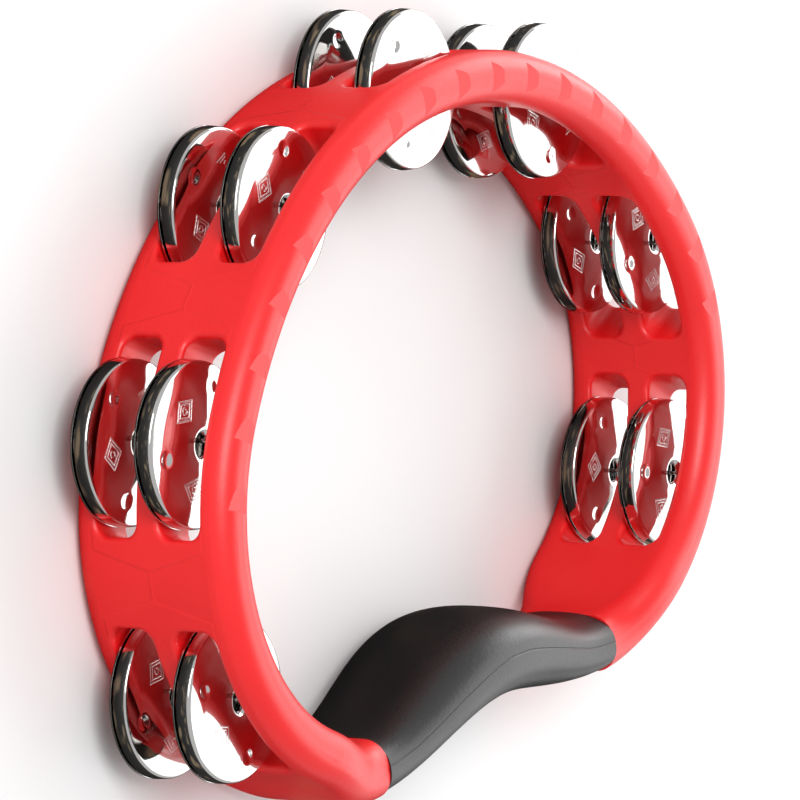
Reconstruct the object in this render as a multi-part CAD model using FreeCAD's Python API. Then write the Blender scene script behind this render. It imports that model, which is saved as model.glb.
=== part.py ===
import FreeCAD, Part
import math
import os

# Hand tambourine: a moulded ring with two rows of jingles on steel pins and a rubber grip.
# It lies on its plain rim. Z is the axis of the ring, and the notched rim is on top.
# X runs across the ring and the grip is towards -Y. The origin is in the middle of the whole
# outline, on the plane that the plain rim lies on. Everything is drawn about the centre of the
# ring's large arc and moved to the origin as it is saved.

# ---- ring ----
RING_RADIUS = 130.1        # outer surface of the large arc
WALL = 13.4                # ring wall, inner to outer surface
DEPTH = 44.0               # ring depth along its axis
SIDE_RADIUS = 69.9         # outer surface of each side arc
SIDE_LEAN = 31.2           # angle above X where the large arc meets a side arc, degrees
NECK_START = 60.0          # angle below X where a side arc runs into a neck, degrees
RIM_CREST = 2.0            # flat crest left along each rounded rim

# ---- jingle stations ----
STATIONS = 7
NECK_MARGIN = 3.3          # plain wall left between the last slots and the necks
ROW_SPACING = 18.0         # between the two rows of slots
SLOT_END_GAP = 2.75        # from the edge of a hanging jingle to the end of its slot
SLOT_WIDTH = 11.4
SLOT_CORNER = 3.5
SLOT_FILLET = 1.4          # rounding of the slot mouths

# ---- jingles ----
JINGLE_RADIUS = 20.0
SHEET = 0.45               # steel sheet
CUP_DEPTH = 4.2            # from the edge of the face to the open edge
CUP_TAPER = 0.3            # the open edge stands out this much past the face
GROOVE_RADIUS = 14.2       # lowest ring of a face, between its border and its boss
GROOVE_DROP = 0.5          # how far the border slopes down to the groove
PLATE_GAP = 1.2            # between a cup's open edge and its plate
HUB_RADIUS = 6.8           # flat middle round the hole
CUP_BOSS = 1.1             # how far the middle of a cup stands out of the groove
PLATE_BOSS = 0.8
HOLE_RADIUS = 2.6
HANG = 1.0                 # a jingle's middle lies this far off its pin
END_GAP = 0.5              # left between a pair and the slot wall at each end of its travel

# ---- pins ----
PIN_RADIUS = 0.55
PIN_SQUEEZE = 0.01         # the bores are this much smaller than the pins in radius
PIN_BLIND = 4.0            # plastic left over the pin's end at the notched rim
PIN_RECESS = 1.0           # the pin's other end sits this far inside the plain rim

# ---- notches in the top rim ----
NOTCHES = 19
NOTCH_PITCH = 7.6          # degrees
NOTCH_STEP = 0.75          # depth at the step
NOTCH_LENGTH = 5.4         # from the step to where the ramp runs out

# ---- handle and grip ----
GRIP_LENGTH = 110.8        # between the two joints of ring and grip
JOINT_DROP = 3.7           # the joints lie this far outside the side arcs' lowest points
HANDLE_RISE = 11.6         # how far the handle's middle bows in from the joints
NECK_END_WALL = 15.2       # ring's section at a joint
NECK_END_DEPTH = 32.4
NECK_END_ROUND = 6.4
CORE_THICKNESS = 8.0       # bar inside the grip, part of the ring's moulding
CORE_DEPTH = 22.0
CORE_LAP = 5.0             # how far the bar runs on inside each neck
GRIP_THICKNESS = 23.2      # at the middle
GRIP_DEPTH = 40.0
GRIP_LIP = 0.5             # the grip stands this proud of the ring at a joint
GRIP_SQUARENESS = 2.6      # 2 is an ellipse, and more is nearer to a rectangle
SECTIONS = 9               # shaping sections along the grip and along each neck

MID_RADIUS = RING_RADIUS - WALL / 2
SIDE_MID = SIDE_RADIUS - WALL / 2
SIDE_X = (RING_RADIUS - SIDE_RADIUS) * math.cos(math.radians(SIDE_LEAN))
SIDE_Y = (RING_RADIUS - SIDE_RADIUS) * math.sin(math.radians(SIDE_LEAN))
JOINT_Y = SIDE_Y - SIDE_MID - JOINT_DROP
LARGE_ARC = MID_RADIUS * math.radians(90 - SIDE_LEAN)
SIDE_ARC = SIDE_MID * math.radians(SIDE_LEAN + NECK_START)
SLOT_LENGTH = 2 * (JINGLE_RADIUS + HANG + SLOT_END_GAP)
SLOT_REACH = SIDE_MID * math.asin(SLOT_LENGTH / 2 / (SIDE_RADIUS - WALL))
STATION_PITCH = (LARGE_ARC + SIDE_ARC - NECK_MARGIN - SLOT_REACH) / (STATIONS // 2)
RIM_ROOM = (DEPTH - ROW_SPACING - SLOT_WIDTH) / 2 - SLOT_FILLET - 0.2
RIM_FILLET = min((WALL - RIM_CREST) / 2, RIM_ROOM)
PAIR_DEPTH = CUP_DEPTH + PLATE_GAP + SHEET
TRAVEL = SLOT_WIDTH - PAIR_DEPTH - max(0, CUP_BOSS - GROOVE_DROP) - 2 * END_GAP
Z_AXIS = FreeCAD.Vector(0, 0, 1)


def vec(x, y, z=0.0):
    return FreeCAD.Vector(x, y, z)


def polar(cx, cy, radius, degrees):
    turn = math.radians(degrees)
    return vec(cx + radius * math.cos(turn), cy + radius * math.sin(turn))


def arc(cx, cy, radius, start, end):
    """An arc about (cx, cy) from the start angle to the end angle, in degrees."""
    middle = polar(cx, cy, radius, (start + end) / 2)
    return Part.Arc(polar(cx, cy, radius, start), middle, polar(cx, cy, radius, end)).toShape()


def c_shape(offset):
    """The large arc and both side arcs from right to left, offset from the middle of the wall."""
    side = SIDE_MID + offset
    return [
        arc(SIDE_X, SIDE_Y, side, -NECK_START, SIDE_LEAN),
        arc(0, 0, MID_RADIUS + offset, SIDE_LEAN, 180 - SIDE_LEAN),
        arc(-SIDE_X, SIDE_Y, side, 180 - SIDE_LEAN, 180 + NECK_START),
    ]


def station_frame(index):
    """Place and outward direction, in degrees, of a station; 0 is the top one."""
    along = abs(index) * STATION_PITCH
    if along <= LARGE_ARC:
        angle = 90 - math.degrees(along / MID_RADIUS)
        place = polar(0, 0, MID_RADIUS, angle)
    else:
        angle = SIDE_LEAN - math.degrees((along - LARGE_ARC) / SIDE_MID)
        place = polar(SIDE_X, SIDE_Y, SIDE_MID, angle)
    if index < 0:
        place = vec(-place.x, place.y)
        angle = 180 - angle
    return place, angle


def row_middle(row):
    """Height of the middle of a slot row: 0 is the rear row, 1 is the front one."""
    return DEPTH / 2 + (row - 0.5) * ROW_SPACING


def placed(shape, place, angle, height=0.0):
    """A shape drawn with +X outwards, turned and moved to a station."""
    moved = shape.copy()
    moved.rotate(vec(0, 0), Z_AXIS, angle)
    moved.translate(vec(place.x, place.y, height))
    return moved


def slot_tool():
    """A box with rounded corners, drawn across a station whose outward direction is +X."""
    reach = WALL * 1.5
    box = Part.makeBox(2 * reach, SLOT_LENGTH, SLOT_WIDTH, vec(-reach, -SLOT_LENGTH / 2, -SLOT_WIDTH / 2))
    corners = [edge for edge in box.Edges if abs(edge.tangentAt(edge.FirstParameter).x) > 0.99]
    return box.makeFillet(SLOT_CORNER, corners)


def notch_tool():
    """A wedge at the top of the ring: its deep end is the step, towards the left."""
    reach = WALL
    points = [vec(0, 0, DEPTH - NOTCH_STEP), vec(0, 0, DEPTH + 1), vec(NOTCH_LENGTH, 0, DEPTH + 1),
              vec(NOTCH_LENGTH, 0, DEPTH), vec(0, 0, DEPTH - NOTCH_STEP)]
    wedge = Part.Face(Part.makePolygon(points)).extrude(vec(0, 2 * reach))
    wedge.translate(vec(0, MID_RADIUS - reach))
    return wedge


def band():
    """The wall from one neck round to the other, before anything is cut in it."""
    outer = c_shape(WALL / 2)
    inner = c_shape(-WALL / 2)
    caps = []
    for side in (0, -1):
        caps.append(Part.makeLine(outer[side].Vertexes[side].Point, inner[side].Vertexes[side].Point))
    wire = Part.Wire(Part.__sortEdges__(outer + inner + caps))
    return Part.Face(wire).extrude(vec(0, 0, DEPTH))


def is_on_wall(edge, offset):
    """Whether an edge lies on the wall surface at this offset from the middle of the wall."""
    for share in (0.1, 0.5, 0.9):
        first = edge.FirstParameter
        point = edge.valueAt(first + share * (edge.LastParameter - first))
        if abs(wall_offset(point) - offset) > 0.01:
            return False
    return True


def wall_offset(point):
    """How far a point is outside the middle of the wall, on the large arc or a side arc."""
    angle = math.degrees(math.atan2(point.y, abs(point.x)))
    if angle >= SIDE_LEAN:
        return math.hypot(point.x, point.y) - MID_RADIUS
    return math.hypot(abs(point.x) - SIDE_X, point.y - SIDE_Y) - SIDE_MID


def slot_mouth_edges(shape):
    """All edges that go round the slots, on the outer and the inner surface."""
    found = []
    for edge in shape.Edges:
        inside = edge.BoundBox.ZMin > 0.01 and edge.BoundBox.ZMax < DEPTH - 0.01
        if inside and (is_on_wall(edge, WALL / 2) or is_on_wall(edge, -WALL / 2)):
            found.append(edge)
    return found


def rim_edges(shape):
    """The long edges of both rims, inner and outer."""
    found = []
    for edge in shape.Edges:
        box = edge.BoundBox
        at_rim = box.ZLength < 0.01 and (box.ZMin < 0.01 or box.ZMax > DEPTH - 0.01)
        if at_rim and (is_on_wall(edge, WALL / 2) or is_on_wall(edge, -WALL / 2)):
            found.append(edge)
    return found


def ring():
    """One moulding: the wall with its slots, notches and pin bores, two necks and the bar."""
    shape = band()
    slot = slot_tool()
    for index in range(-(STATIONS // 2), STATIONS // 2 + 1):
        place, angle = station_frame(index)
        for row in (0, 1):
            shape = shape.cut(placed(slot, place, angle, row_middle(row)))
    shape = shape.makeFillet(SLOT_FILLET, slot_mouth_edges(shape))
    shape = shape.makeFillet(RIM_FILLET, rim_edges(shape))
    notch = notch_tool()
    for count in range(NOTCHES):
        turned = notch.copy()
        turned.rotate(vec(0, 0), Z_AXIS, (count - NOTCHES // 2) * NOTCH_PITCH)
        shape = shape.cut(turned)
    for side in (1, -1):
        shape = shape.fuse(neck(side))
    shape = shape.fuse(core())
    for index in range(-(STATIONS // 2), STATIONS // 2 + 1):
        shape = shape.cut(pin(index, PIN_RADIUS - PIN_SQUEEZE))
    return shape.Solids[0]


def ease(share):
    """Goes smoothly from 0 to 1 with the share."""
    return (1 - math.cos(math.pi * share)) / 2


def rounded_wire(middle, across, wall, depth, corner):
    """A rounded rectangle standing on the line 'across', which points out through the wall."""
    flat = wall / 2 - corner
    tall = depth / 2 - corner
    diagonal = corner * math.sqrt(0.5)
    edges = []
    points = []
    for out, up in ((1, 1), (-1, 1), (-1, -1), (1, -1)):
        side = middle + across * (out * (flat + corner)) + Z_AXIS * (up * tall)
        bend = middle + across * (out * (flat + diagonal)) + Z_AXIS * (up * (tall + diagonal))
        end = middle + across * (out * flat) + Z_AXIS * (up * (tall + corner))
        points.append((side, bend, end) if out == up else (end, bend, side))
    for count, (start, bend, stop) in enumerate(points):
        edges.append(Part.Arc(start, bend, stop).toShape())
        edges.append(Part.makeLine(stop, points[(count + 1) % 4][0]))
    return Part.Wire(edges)


def neck(side):
    """One tapering end of the wall: side is 1 for the right one and -1 for the left one."""
    first = polar(SIDE_X, SIDE_Y, SIDE_MID, -NECK_START)
    last = vec(GRIP_LENGTH / 2, JOINT_Y)
    reach = 0.4 * (last - first).Length
    heading = polar(0, 0, 1, -90 - NECK_START)
    knots = [first, first + heading * reach, last + vec(reach, 0), last]
    curve = Part.BezierCurve()
    curve.setPoles([vec(side * knot.x, knot.y) for knot in knots])
    wires = []
    for count in range(SECTIONS):
        share = count / (SECTIONS - 1)
        middle = curve.value(share)
        along = curve.tangent(share)[0]
        across = along.cross(Z_AXIS) * -side
        size = ease(share)
        wall = WALL + (NECK_END_WALL - WALL) * size
        depth = DEPTH + (NECK_END_DEPTH - DEPTH) * size
        corner = RIM_FILLET + (NECK_END_ROUND - RIM_FILLET) * size
        wires.append(rounded_wire(middle + vec(0, 0, DEPTH / 2), across, wall, depth, corner))
    return Part.makeLoft(wires, True, False)


def handle_place(share):
    """A point on the handle's middle line: share runs from -1 at one joint to 1 at the other."""
    if abs(share) >= 1:
        return vec(share * GRIP_LENGTH / 2, JOINT_Y, DEPTH / 2), vec(0, 1)
    rise = HANDLE_RISE * ease(1 - abs(share))
    slope = HANDLE_RISE * math.pi / GRIP_LENGTH * math.sin(math.pi * share)
    place = vec(share * GRIP_LENGTH / 2, JOINT_Y + rise, DEPTH / 2)
    return place, vec(slope, 1) / math.hypot(slope, 1)


def core():
    """The bar inside the grip, which joins the two necks."""
    lap = 2 * CORE_LAP / GRIP_LENGTH
    shares = [2 * count / (SECTIONS - 1) - 1 for count in range(SECTIONS)]
    wires = []
    for share in [-1 - lap] + shares + [1 + lap]:
        place, across = handle_place(share)
        wires.append(rounded_wire(place, across, CORE_THICKNESS, CORE_DEPTH, CORE_THICKNESS / 4))
    return Part.makeLoft(wires, True, False)


def rounded(value):
    """A sine or cosine squared off, so that a circle becomes a rounded rectangle."""
    return math.copysign(abs(value) ** (2 / GRIP_SQUARENESS), value)


def grip_wire(share):
    """One closed section of the grip."""
    place, across = handle_place(share)
    swell = ease(1 - abs(share))
    end_thick = NECK_END_WALL + 2 * GRIP_LIP
    end_depth = NECK_END_DEPTH + 2 * GRIP_LIP
    thick = end_thick + (GRIP_THICKNESS - end_thick) * swell
    depth = end_depth + (GRIP_DEPTH - end_depth) * swell
    points = []
    for step in range(24):
        turn = 2 * math.pi * step / 24
        out = across * (thick / 2 * rounded(math.cos(turn)))
        points.append(place + out + Z_AXIS * (depth / 2 * rounded(math.sin(turn))))
    curve = Part.BSplineCurve()
    curve.interpolate(points, PeriodicFlag=True)
    return Part.Wire(curve.toShape())


def grip():
    """The rubber sleeve moulded round the bar, from joint to joint."""
    wires = [grip_wire(2 * count / (SECTIONS - 1) - 1) for count in range(SECTIONS)]
    return Part.makeLoft(wires, True, False).cut(core()).Solids[0]


def pin(index, radius):
    """One pin goes through both rows of a station."""
    place, _ = station_frame(index)
    length = DEPTH - PIN_BLIND - PIN_RECESS
    return Part.makeCylinder(radius, length, vec(place.x, place.y, PIN_RECESS), Z_AXIS)


def spun(points):
    """A closed outline of (radius, height) points turned into a disc about its own axis."""
    corners = [vec(radius, 0, height) for radius, height in points]
    corners.append(corners[0])
    return Part.Face(Part.makePolygon(corners)).revolve(vec(0, 0), Z_AXIS, 360)


def cup():
    """A cup jingle with the edge of its face at height 0 and its open edge below."""
    face = JINGLE_RADIUS - CUP_TAPER
    hub = CUP_BOSS - GROOVE_DROP
    return spun([
        (HOLE_RADIUS, hub),
        (HUB_RADIUS, hub),
        (GROOVE_RADIUS, -GROOVE_DROP),
        (face - SHEET, 0),
        (face, -SHEET),
        (JINGLE_RADIUS, -CUP_DEPTH),
        (JINGLE_RADIUS - SHEET, -CUP_DEPTH),
        (face - SHEET, -2 * SHEET),
        (face - 2 * SHEET, -SHEET),
        (GROOVE_RADIUS, -GROOVE_DROP - SHEET),
        (HUB_RADIUS, hub - SHEET),
        (HOLE_RADIUS, hub - SHEET),
    ])


def plate():
    """A plate jingle: its flat border is at height 0 below, and its middle stands up."""
    return spun([
        (HOLE_RADIUS, PLATE_BOSS),
        (HUB_RADIUS, PLATE_BOSS),
        (GROOVE_RADIUS, 0),
        (JINGLE_RADIUS, 0),
        (JINGLE_RADIUS, SHEET),
        (GROOVE_RADIUS, SHEET),
        (HUB_RADIUS, PLATE_BOSS + SHEET),
        (HOLE_RADIUS, PLATE_BOSS + SHEET),
    ])


def jingle_middle(index):
    """Top and left jingles lie towards the grip by the play of their holes, and right ones away.

    The last right pair is centred on its pin.
    """
    place, _ = station_frame(index)
    if index <= 0:
        return place + vec(0, -HANG)
    if index < STATIONS // 2:
        return place + vec(0, HANG)
    return place


def origin_shift():
    """From the large arc's centre to the middle of the outline, jingles and grip included."""
    top = MID_RADIUS + JINGLE_RADIUS - HANG
    bottom = JOINT_Y - NECK_END_WALL / 2 - GRIP_LIP
    return vec(0, -(top + bottom) / 2)


def save(shape, node):
    moved = shape.copy()
    moved.translate(origin_shift())
    moved.exportStep(f"parts/{node}.step")


def main():
    os.makedirs("parts", exist_ok=True)
    save(ring(), "ring_frame")
    save(grip(), "grip_sleeve")
    cup_shape = cup()
    plate_shape = plate()
    for index in range(-(STATIONS // 2), STATIONS // 2 + 1):
        number = index + STATIONS // 2 + 1
        save(pin(index, PIN_RADIUS), f"jingle_pin_{number}")
        middle = jingle_middle(index)
        for row, row_name in ((0, "rear"), (1, "front")):
            floor = row_middle(row) - SLOT_WIDTH / 2 + END_GAP
            save(placed(plate_shape, middle, 0, floor), f"plate_jingle_{row_name}_{number}")
            save(placed(cup_shape, middle, 0, floor + PAIR_DEPTH), f"cup_jingle_{row_name}_{number}")


main()
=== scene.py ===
import math

import bpy
from mathutils import Matrix, Vector


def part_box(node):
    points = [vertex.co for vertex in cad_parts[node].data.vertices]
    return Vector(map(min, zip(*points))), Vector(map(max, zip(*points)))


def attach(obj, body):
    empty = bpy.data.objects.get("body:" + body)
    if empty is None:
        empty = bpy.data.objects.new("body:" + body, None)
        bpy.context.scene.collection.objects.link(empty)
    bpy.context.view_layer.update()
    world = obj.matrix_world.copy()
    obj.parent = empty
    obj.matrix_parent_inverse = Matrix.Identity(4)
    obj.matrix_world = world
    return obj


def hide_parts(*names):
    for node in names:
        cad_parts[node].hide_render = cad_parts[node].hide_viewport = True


# A hand tambourine on its plain rim: a red moulded ring with a black rubber grip, and two rows of
# nickelled steel jingles on steel pins. All sizes are in metres.
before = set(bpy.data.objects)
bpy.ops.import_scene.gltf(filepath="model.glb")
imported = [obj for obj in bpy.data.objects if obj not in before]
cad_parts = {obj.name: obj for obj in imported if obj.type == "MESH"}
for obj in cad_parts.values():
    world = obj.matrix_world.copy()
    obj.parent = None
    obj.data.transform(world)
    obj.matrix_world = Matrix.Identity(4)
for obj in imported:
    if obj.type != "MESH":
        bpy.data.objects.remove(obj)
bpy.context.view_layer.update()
bpy.ops.object.select_all(action="DESELECT")


# ---- The ring -------------------------------------------------------------------------------
# One injection moulding in glossy red plastic: the slotted wall, the notched front rim and both
# necks. Its skin keeps the fine spark grain of the mould, and a low pad is raised round each pair
# of slots.

class Wire:
    """One output of a material's nodes. A sum on it adds Math nodes."""

    def __init__(self, finish, socket):
        self.finish = finish
        self.socket = socket

    def math(self, operation, *others):
        return self.finish.add("ShaderNodeMath", {"operation": operation}, {0: self}, *others)

    def __add__(self, other):
        return self.math("ADD", other)

    __radd__ = __add__

    def __sub__(self, other):
        return self.math("SUBTRACT", other)

    def __rsub__(self, other):
        return self.finish.add("ShaderNodeMath", {"operation": "SUBTRACT"}, {0: other}, self)

    def __mul__(self, other):
        return self.math("MULTIPLY", other)

    __rmul__ = __mul__

    def __truediv__(self, other):
        return self.math("DIVIDE", other)

    def __abs__(self):
        return self.math("ABSOLUTE")

    def smaller(self, other):
        return self.math("MINIMUM", other)

    def larger(self, other):
        return self.math("MAXIMUM", other)

    def fade(self, start, end, low=0.0, high=1.0):
        """Goes smoothly from low to high as the value goes from start to end."""
        settings = {"interpolation_type": "SMOOTHSTEP"}
        sockets = {"Value": self, "From Min": start, "From Max": end, "To Min": low, "To Max": high}
        return self.finish.add("ShaderNodeMapRange", settings, sockets)


class Finish:
    """A material, with its one shader and the nodes that feed it."""

    def __init__(self, name, **constants):
        self.material = bpy.data.materials.new(name)
        self.material.use_nodes = True
        self.tree = self.material.node_tree
        self.shader = self.tree.nodes["Principled BSDF"]
        for socket, value in constants.items():
            self.shader.inputs[socket.replace("_", " ")].default_value = value

    def add(self, kind, settings, sockets, *more, output=0):
        """Adds a node: its settings first, then a value or a link for each socket."""
        node = self.tree.nodes.new(kind)
        for name, value in settings.items():
            setattr(node, name, value)
        for place, value in list(sockets.items()) + list(enumerate(more, 1)):
            if isinstance(value, Wire):
                self.tree.links.new(value.socket, node.inputs[place])
            else:
                node.inputs[place].default_value = value
        return Wire(self, node.outputs[output])

    def place(self):
        """Where a point of the surface is on the whole object."""
        return self.add("ShaderNodeTexCoord", {}, {}, output="Object")

    def xyz(self, vector):
        """The three parts of a vector."""
        split = self.tree.nodes.new("ShaderNodeSeparateXYZ")
        self.tree.links.new(vector.socket, split.inputs[0])
        return [Wire(self, output) for output in split.outputs]

    def noise(self, vector, size, detail=2.0, roughness=0.5):
        """Cloudy values from 0 to 1; size is the width of one cloud in metres."""
        sockets = {"Vector": vector, "Scale": 1 / size, "Detail": detail, "Roughness": roughness}
        return self.add("ShaderNodeTexNoise", {}, sockets, output="Fac")

    def blend(self, share, first, second):
        """A colour between two colours."""
        sockets = {0: share, 6: first, 7: second}
        return self.add("ShaderNodeMix", {"data_type": "RGBA"}, sockets, output=2)

    def feed(self, socket, wire):
        """Drives one socket of the shader."""
        self.tree.links.new(wire.socket, self.shader.inputs[socket])

    def relief(self, *layers):
        """Bumps on bumps: each layer is (height wire, depth in metres, strength)."""
        below = None
        for height, depth, strength in layers:
            sockets = {"Height": height, "Distance": depth, "Strength": strength}
            if below:
                sockets["Normal"] = below
            below = self.add("ShaderNodeBump", {}, sockets)
        self.feed("Normal", below)


def dress(node, finish):
    """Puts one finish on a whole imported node."""
    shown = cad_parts[node]
    shown.data.materials.clear()
    shown.data.materials.append(finish.material)


# The path along the middle of the wall: a large arc over the top and a tighter one at each side.
ARC_MIDDLE = -0.049295
ARC_RADIUS = 0.1234
SIDE_MIDDLE = (0.05149, ARC_MIDDLE + 0.03119)
SIDE_RADIUS = 0.0632
SIDE_LEAN = math.radians(31.2)
RING_MIDDLE = 0.022
PITCH = 0.0655

# A pad reaches furthest along the wall at its middle height, where it ends in a blunt tip.
PAD_TIP = 0.0295
PAD_SLOPE = 0.28
PAD_HALF_DEPTH = 0.0155
PAD_SOFTNESS = 0.0003
PAD_RELIEF = 0.0002
LAST_PAD_END = 3.5
PARTING_CREST = 0.0001
PARTING_HALF_WIDTH = 0.00045
PARTING_SHARE = 0.6

CLOUD_SIZE = 0.045
SPECKLE_SIZE = 0.0011
FLOW_SIZE = 0.012
GRAIN_SIZE = 0.0006
DEEP_RED = (0.80, 0.0060, 0.0085, 1)
BRIGHT_RED = (0.88, 0.0090, 0.0110, 1)

red_plastic = Finish("red_plastic", Specular_IOR_Level=0.45, Coat_Weight=0.3, Coat_Roughness=0.3)
spot = red_plastic.place()
x, y, z = red_plastic.xyz(spot)
x = abs(x)
over_top = (y - ARC_MIDDLE).math("ARCTAN2", x).larger(SIDE_LEAN)
down_side = (y - SIDE_MIDDLE[1]).math("ARCTAN2", x - SIDE_MIDDLE[0]).smaller(SIDE_LEAN)
travelled = ARC_RADIUS * (math.pi / 2 - over_top) + SIDE_RADIUS * (SIDE_LEAN - down_side)
from_station = abs((travelled + PITCH / 2).math("FLOORED_MODULO", PITCH) - PITCH / 2)
from_middle = abs(z - RING_MIDDLE)
inside_pad = PAD_TIP - PAD_SLOPE * from_middle - from_station
inside_pad = inside_pad.smaller(PAD_HALF_DEPTH - from_middle)
on_path = travelled.fade((LAST_PAD_END - 0.04) * PITCH, LAST_PAD_END * PITCH, 1.0, 0.0)
pad = inside_pad.fade(-PAD_SOFTNESS, PAD_SOFTNESS) * on_path
parting = from_middle.fade(PARTING_CREST, PARTING_HALF_WIDTH, 1.0, 0.0) * (1 - pad) * on_path
clouds = red_plastic.noise(spot, CLOUD_SIZE, 3.0)
speckle = red_plastic.noise(spot, SPECKLE_SIZE, 2.0)
red = red_plastic.blend(clouds.fade(0.3, 0.7), DEEP_RED, BRIGHT_RED)
red_plastic.feed("Base Color", red)
red_plastic.feed("Roughness", 0.30 + 0.08 * clouds + 0.14 * speckle)
grain = red_plastic.noise(spot, GRAIN_SIZE, 3.0, 0.65)
flow = red_plastic.noise(spot, FLOW_SIZE, 2.0)
red_plastic.relief(
    (pad + PARTING_SHARE * parting, PAD_RELIEF, 0.8),
    (flow, 0.0003, 0.15),
    (grain, 0.00012, 0.55),
)
dress("ring_frame", red_plastic)


# ---- The grip -------------------------------------------------------------------------------
# A sleeve of black rubber moulded over the handle bar, from joint to joint. It has a satin skin
# with a fine grain, and the mould's parting line runs along its front and rear crests.

GRIP_HALF = 0.0554
GRIP_END = -0.0850
GRIP_RISE = 0.0116
SEAM_OFFSET = 0.0012
SEAM_WANDER = 0.0012
SEAM_FLOOR = 0.00008
SEAM_HALF_WIDTH = 0.00035
SEAM_DEPTH = 0.00018
RUBBER_BLACK = (0.0055, 0.0055, 0.0060, 1)
RUBBER_WORN = (0.0105, 0.0105, 0.0110, 1)

black_rubber = Finish("black_rubber", Specular_IOR_Level=0.75)
spot = black_rubber.place()
x, y, _ = black_rubber.xyz(spot)
bow = (1 - (math.pi * (1 - abs(x) / GRIP_HALF)).math("COSINE")) * (GRIP_RISE / 2)
wander = black_rubber.noise(spot, 0.02, 2.0)
off_seam = abs(y - GRIP_END - bow - SEAM_OFFSET - SEAM_WANDER * (wander - 0.5))
seam = off_seam.fade(SEAM_FLOOR, SEAM_HALF_WIDTH, 1.0, 0.0)
clouds = black_rubber.noise(spot, 0.018, 3.0)
grain = black_rubber.noise(spot, 0.0008, 3.0, 0.6)
black_rubber.feed("Base Color", black_rubber.blend(clouds, RUBBER_BLACK, RUBBER_WORN))
black_rubber.feed("Roughness", 0.30 + 0.10 * clouds + 0.10 * grain)
black_rubber.relief((1 - seam, SEAM_DEPTH, 1.0), (clouds, 0.0004, 0.15), (grain, 0.00012, 0.6))
dress("grip_sleeve", black_rubber)


# ---- The pins -------------------------------------------------------------------------------
# Seven straight pins of bright drawn steel wire, pushed in from the plain rim; each carries the
# front and the rear jingles of one station.

STEEL_DULL = (0.62, 0.61, 0.60, 1)
STEEL_BRIGHT = (0.80, 0.79, 0.77, 1)

drawn_steel = Finish("drawn_steel", Metallic=1.0)
spot = drawn_steel.place()
smudge = drawn_steel.noise(spot, 0.0012, 2.0)
drawn_steel.feed("Base Color", drawn_steel.blend(smudge, STEEL_DULL, STEEL_BRIGHT))
drawn_steel.feed("Roughness", 0.14 + 0.12 * smudge)
drawn_steel.relief((smudge, 0.00002, 0.3))
STATIONS = 7
for number in range(1, STATIONS + 1):
    dress(f"jingle_pin_{number}", drawn_steel)


# ---- The jingles ----------------------------------------------------------------------------
# Each jingle is a pair: a deep cup and a thin plate behind it. Both are stamped from nickelled
# sheet steel, with a raised boss round the hole, three punched dimples and three stamped marks.

# A mark is two lozenges, one in the other, round a small ring. Its sizes are shares of the
# disc's width, as its flat map runs from 0 to 1.
MARK_AT = 0.27
MARK_HALF_WIDTH = 0.070
MARK_HALF_LENGTH = 0.095
INNER_LOZENGE = 0.68
MARK_RING = 0.018
LINE_CORE = 0.03
LINE_SIDE = 0.08
NICKEL_SHADE = (0.66, 0.65, 0.635, 1)
NICKEL_LIGHT = (0.74, 0.73, 0.715, 1)

nickel = Finish("nickel_plate", Metallic=1.0)
disc = nickel.add("ShaderNodeUVMap", {"uv_map": "disc"}, {})
across, along, _ = nickel.xyz(disc)
across = across - 0.5
along = along - 0.5
reach = (across * across + along * along).math("SQRT")
turn = along.math("ARCTAN2", across)
third = 2 * math.pi / 3
fold = turn.math("FLOORED_MODULO", third) - third / 2
out = reach * fold.math("COSINE") - MARK_AT
side = reach * fold.math("SINE")
lozenge = abs(out) / MARK_HALF_WIDTH + abs(side) / MARK_HALF_LENGTH
outline = abs(lozenge - 1).fade(LINE_CORE, LINE_SIDE, 1.0, 0.0)
inner_line = abs(lozenge - INNER_LOZENGE).fade(LINE_CORE, LINE_SIDE, 1.0, 0.0)
from_mark = (out * out + side * side).math("SQRT")
ring_mark = abs(from_mark - MARK_RING).fade(0.002, 0.005, 1.0, 0.0)
stamp = outline.larger(ring_mark).larger(inner_line)
tarnish = nickel.noise(disc, 0.35, 3.0)
polishing = nickel.add("ShaderNodeCombineXYZ", {}, {0: reach * 30.0, 1: turn * 0.3, 2: 0.0})
polish = nickel.noise(polishing, 0.2, 3.0)
nickel.feed("Base Color", nickel.blend(tarnish, NICKEL_SHADE, NICKEL_LIGHT))
nickel.feed("Roughness", 0.03 + 0.04 * tarnish + 0.03 * polish + 0.10 * stamp)
nickel.relief((1 - stamp, 0.0001, 1.0), (polish, 0.00001, 0.1))

JINGLE_RADIUS = 0.0200
SHEET = 0.00045
CUT_EDGE = 0.00008
SHARP_TURN = math.radians(50)
SMOOTH_TURN = math.radians(35)
SEGMENTS = 144
SHOULDER_RADIUS = 0.0142
HUB_RADIUS = 0.0068
HOLE_RADIUS = 0.0026
DIMPLES = 3
DIMPLE_AT = 0.0141
DIMPLE_DEPTH = 0.00045
DIMPLE_REACH = 0.0017


def stamped_disc(name, radius, height, profile):
    """A thin disc of nickel sheet, pressed through (radius, height) rings towards its hole."""
    bpy.ops.object.select_all(action="DESELECT")
    bpy.ops.mesh.primitive_circle_add(
        vertices=SEGMENTS, radius=radius, fill_type="NGON", location=(0, 0, height))
    bpy.ops.object.transform_apply(location=True, rotation=False, scale=False)
    made = bpy.context.object
    made.name = name
    made.data.name = name
    bpy.ops.object.mode_set(mode="EDIT")
    bpy.ops.mesh.select_all(action="SELECT")
    for ring, level in profile:
        bpy.ops.mesh.inset(thickness=radius - ring, depth=level - height)
        radius, height = ring, level
    bpy.ops.mesh.delete(type="FACE")
    bpy.ops.object.mode_set(mode="OBJECT")
    return made


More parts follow.
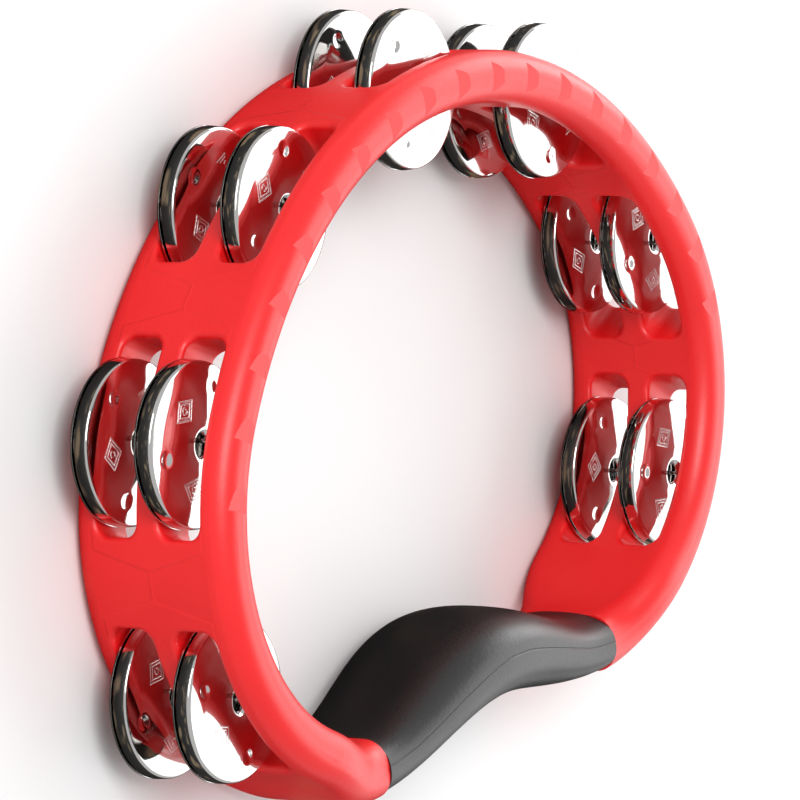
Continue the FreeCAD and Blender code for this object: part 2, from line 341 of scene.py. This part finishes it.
def select_points(piece, chosen):
    """Selects, in edit mode, the points that pass the test."""
    bpy.ops.object.mode_set(mode="EDIT")
    bpy.ops.mesh.select_mode(type="VERT")
    bpy.ops.mesh.select_all(action="DESELECT")
    bpy.ops.object.mode_set(mode="OBJECT")
    for vertex in piece.data.vertices:
        vertex.select = chosen(vertex.co)
    bpy.ops.object.mode_set(mode="EDIT")


def punch_dimples(piece):
    """Presses the round dimples into the face, just outside the boss."""
    for count in range(DIMPLES):
        angle = 2 * math.pi * count / DIMPLES
        middle = Vector((DIMPLE_AT * math.cos(angle), DIMPLE_AT * math.sin(angle)))
        nearest = min(piece.data.vertices, key=lambda vertex: (vertex.co.xy - middle).length)
        bpy.ops.object.mode_set(mode="OBJECT")
        place = nearest.co.copy()
        select_points(piece, lambda co: (co - place).length < 1e-7)
        bpy.ops.transform.translate(
            value=(0, 0, -DIMPLE_DEPTH), use_proportional_edit=True,
            proportional_edit_falloff="SPHERE", proportional_size=DIMPLE_REACH)
        bpy.ops.object.mode_set(mode="OBJECT")


def thicken(piece):
    """Gives the sheet its thickness and rounds its cut edges."""
    bpy.ops.object.select_all(action="DESELECT")
    piece.select_set(True)
    bpy.context.view_layer.objects.active = piece
    bpy.ops.object.mode_set(mode="EDIT")
    bpy.ops.mesh.select_all(action="SELECT")
    bpy.ops.mesh.normals_make_consistent(inside=False)
    bpy.ops.object.mode_set(mode="OBJECT")
    solid = piece.modifiers.new("sheet", "SOLIDIFY")
    solid.thickness = SHEET
    solid.offset = -1
    bpy.ops.object.modifier_apply(modifier=solid.name)
    edge = piece.modifiers.new("edge", "BEVEL")
    edge.width = CUT_EDGE
    edge.segments = 2
    edge.limit_method = "ANGLE"
    edge.angle_limit = SHARP_TURN
    bpy.ops.object.modifier_apply(modifier=edge.name)
    bpy.ops.object.shade_smooth_by_angle(angle=SMOOTH_TURN)


def lay_disc_map(piece):
    """A flat map of the disc, with its middle at (0.5, 0.5)."""
    layer = piece.data.uv_layers.new(name="disc")
    for loop in piece.data.loops:
        point = piece.data.vertices[loop.vertex_index].co / (2 * JINGLE_RADIUS)
        layer.data[loop.index].uv = (point.x + 0.5, point.y + 0.5)


def sloping_rings(first, last, start, end, steps):
    """Rings of a slope from one radius and height to another, eased a little at both ends."""
    rings = []
    for count in range(1, steps + 1):
        share = count / steps
        eased = 0.8 * share + 0.2 * share * share * (3 - 2 * share)
        rings.append((first + (last - first) * share, start + (end - start) * eased))
    return rings


# The cup's rings: a border that rounds up from the edge, the boss, the flat hub, and the lip
# rolled down into the hole.
CUP_FACE = 0.0197
CUP_CORNER = 0.0005
CUP_DEPTH = 0.0042
CUP_EDGE = -0.0010
CUP_SHOULDER = -0.0003
CUP_HUB = 0.0006
BORDER_STEPS = 10
BORDER_ROUNDING = 1.4
BOSS_STEPS = 14
HUB_RINGS = (0.0058, 0.0046, 0.0040)
ROLLED_LIP = [
    (0.0037, 0.00008),
    (0.0034, 0.0003),
    (0.0031, 0.0006),
    (0.0028, 0.0009),
    (HOLE_RADIUS, 0.0013),
]

edge_radius = CUP_FACE - CUP_CORNER
edge_height = CUP_EDGE
cup_rings = []
for count in range(1, BORDER_STEPS + 1):
    share = 1 - count / BORDER_STEPS
    radius = SHOULDER_RADIUS + (edge_radius - SHOULDER_RADIUS) * share
    cup_rings.append((radius, CUP_SHOULDER + (CUP_EDGE - CUP_SHOULDER) * share ** BORDER_ROUNDING))
cup_rings += sloping_rings(SHOULDER_RADIUS, HUB_RADIUS, CUP_SHOULDER, CUP_HUB, BOSS_STEPS)
cup_rings += [(radius, CUP_HUB) for radius in HUB_RINGS]
cup_rings += [(radius, CUP_HUB - drop) for radius, drop in ROLLED_LIP]
cup = stamped_disc("cup", edge_radius, CUP_EDGE, cup_rings)
punch_dimples(cup)

# The wall is drawn down from the edge, round the corner first.
wall_steps = [
    (CUP_FACE - 0.00025, CUP_EDGE - 0.00012),
    (CUP_FACE - 0.00008, CUP_EDGE - 0.00028),
    (CUP_FACE, CUP_EDGE - CUP_CORNER),
    (CUP_FACE + 0.00015, -0.6 * CUP_DEPTH),
    (JINGLE_RADIUS, -CUP_DEPTH),
]
select_points(cup, lambda co: co.xy.length > edge_radius - 1e-5)
for ring, level in wall_steps:
    bpy.ops.mesh.extrude_region_move(TRANSFORM_OT_translate={"value": (0, 0, level - edge_height)})
    scale = ring / edge_radius
    bpy.ops.transform.resize(value=(scale, scale, 1), center_override=(0, 0, 0))
    edge_radius, edge_height = ring, level
bpy.ops.object.mode_set(mode="OBJECT")
thicken(cup)
lay_disc_map(cup)
cup.data.materials.append(nickel.material)

# The plate is a shallower stamping with a flat border and no wall.
PLATE_BOSS = 0.0008
PLATE_HUB_RINGS = (0.0054, 0.0040, HOLE_RADIUS)
plate_rings = sloping_rings(JINGLE_RADIUS, SHOULDER_RADIUS, 0.0, 0.0, 6)
plate_rings += sloping_rings(SHOULDER_RADIUS, HUB_RADIUS, 0.0, PLATE_BOSS, BOSS_STEPS)
plate_rings += [(radius, PLATE_BOSS) for radius in PLATE_HUB_RINGS]
plate = stamped_disc("plate", JINGLE_RADIUS, 0.0, plate_rings)
punch_dimples(plate)
thicken(plate)
lay_disc_map(plate)
plate.data.materials.append(nickel.material)


def hang(pattern, node, body, above, turned):
    """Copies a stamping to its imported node; above is how far its zero height is over its foot."""
    low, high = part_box(node)
    middle = (low + high) / 2
    copy = pattern.copy()
    copy.data = pattern.data.copy()
    copy.name = node.replace("jingle", "stamping")
    copy.data.name = copy.name
    bpy.context.collection.objects.link(copy)
    place = Matrix.Translation((middle.x, middle.y, low.z + above))
    copy.data.transform(place @ Matrix.Rotation(turned, 4, "Z"))
    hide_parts(node)
    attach(copy, body)


# How far each cup has turned on its pin, in degrees. Its plate lies one radian further round.
TURNS = {"rear": [70, 0, 15, 110, 60, 20, 100], "front": [35, 60, 80, 0, 20, 75, 45]}
PLATE_LEAD = 1.0
for number in range(1, STATIONS + 1):
    for row in ("rear", "front"):
        turned = math.radians(TURNS[row][number - 1])
        hang(cup, f"cup_jingle_{row}_{number}", f"cup_{row}_{number}", CUP_DEPTH, turned)
        hang(plate, f"plate_jingle_{row}_{number}", f"plate_{row}_{number}", SHEET, turned + PLATE_LEAD)
bpy.data.objects.remove(cup)
bpy.data.objects.remove(plate)


# ---- The studio -----------------------------------------------------------------------------
# A pale painted floor under a white surround, lit by three square soft lights. A dark card lies
# on the floor and shows only in gloss, so that the bright steel has something dark to mirror.

FLOOR_SIZE = 12
FLOOR_GREY = (0.86, 0.86, 0.86, 1)
FLOOR_PALE = (0.88, 0.88, 0.88, 1)

floor_finish = Finish("floor_paint")
spot = floor_finish.place()
paint = floor_finish.noise(spot, 0.4, 2.0)
floor_finish.feed("Base Color", floor_finish.blend(paint, FLOOR_GREY, FLOOR_PALE))
floor_finish.feed("Roughness", 0.8 + 0.1 * paint)
bpy.ops.object.select_all(action="DESELECT")
bpy.ops.mesh.primitive_plane_add(size=FLOOR_SIZE, location=(0, 0, 0))
floor = bpy.context.object
floor.name = "floor"
floor.data.materials.append(floor_finish.material)

CARD_SIZE = 0.9
CARD_PLACE = (-0.30, 0, 0.0004)
CARD_BLACK = (0.004, 0.004, 0.004, 1)
CARD_TAN = (0.20, 0.15, 0.09, 1)

dark_finish = Finish("dark_card", Roughness=0.9)
spot = dark_finish.place()
blotch = dark_finish.noise(spot, 0.03, 1.0).fade(0.56, 0.68)
dark_finish.feed("Base Color", dark_finish.blend(blotch, CARD_BLACK, CARD_TAN))
bpy.ops.mesh.primitive_plane_add(size=CARD_SIZE, location=CARD_PLACE)
card = bpy.context.object
card.name = "dark_card"
card.data.materials.append(dark_finish.material)
card.visible_camera = False
card.visible_diffuse = False
card.visible_shadow = False
card.visible_transmission = False


LIT_POINT = Vector((0, 0, 0.02))


def soft_light(name, place, size, power):
    """A square area light that looks at the middle of the tambourine."""
    lamp = bpy.data.lights.new(name, "AREA")
    lamp.shape = "SQUARE"
    lamp.size = size
    lamp.energy = power
    light = bpy.data.objects.new(name, lamp)
    light.location = place
    light.rotation_euler = (LIT_POINT - Vector(place)).to_track_quat("-Z", "Y").to_euler()
    bpy.context.collection.objects.link(light)


soft_light("key_light", (-0.9, 0.7, 1.3), 0.8, 17)
soft_light("side_light", (1.22, -0.34, 0.85), 1.5, 11.5)
soft_light("low_light", (1.35, 0.45, 0.42), 0.7, 6)

SURROUND_WHITE = (1, 1, 1, 1)
SURROUND_STRENGTH = 0.62
world = bpy.data.worlds.new("surround")
bpy.context.scene.world = world
world.use_nodes = True
surround = world.node_tree.nodes["Background"].inputs
surround["Color"].default_value = SURROUND_WHITE
surround["Strength"].default_value = SURROUND_STRENGTH
bpy.context.scene.view_settings.view_transform = "Standard"

# The camera looks down from the left side, rolled a little, through a long lens.
CAMERA_PLACE = Vector((-1.051554, 0.269639, 0.711676))
CAMERA_AIM = Vector((-0.008320, -0.004027, 0.022))
CAMERA_ROLL = math.radians(6.3558)
CAMERA_LENS = 230.942
ahead = (CAMERA_AIM - CAMERA_PLACE).normalized()
level = ahead.cross(Vector((0, 1, 0))).normalized()
over = level.cross(ahead)
up = over * math.cos(CAMERA_ROLL) + level * math.sin(CAMERA_ROLL)
right = ahead.cross(up)
lens = bpy.data.cameras.new("camera")
lens.lens = CAMERA_LENS
lens.sensor_width = 36
camera = bpy.data.objects.new("camera", lens)
facing = Matrix((right, up, -ahead)).transposed().to_4x4()
camera.matrix_world = Matrix.Translation(CAMERA_PLACE) @ facing
bpy.context.collection.objects.link(camera)
bpy.context.scene.camera = camera
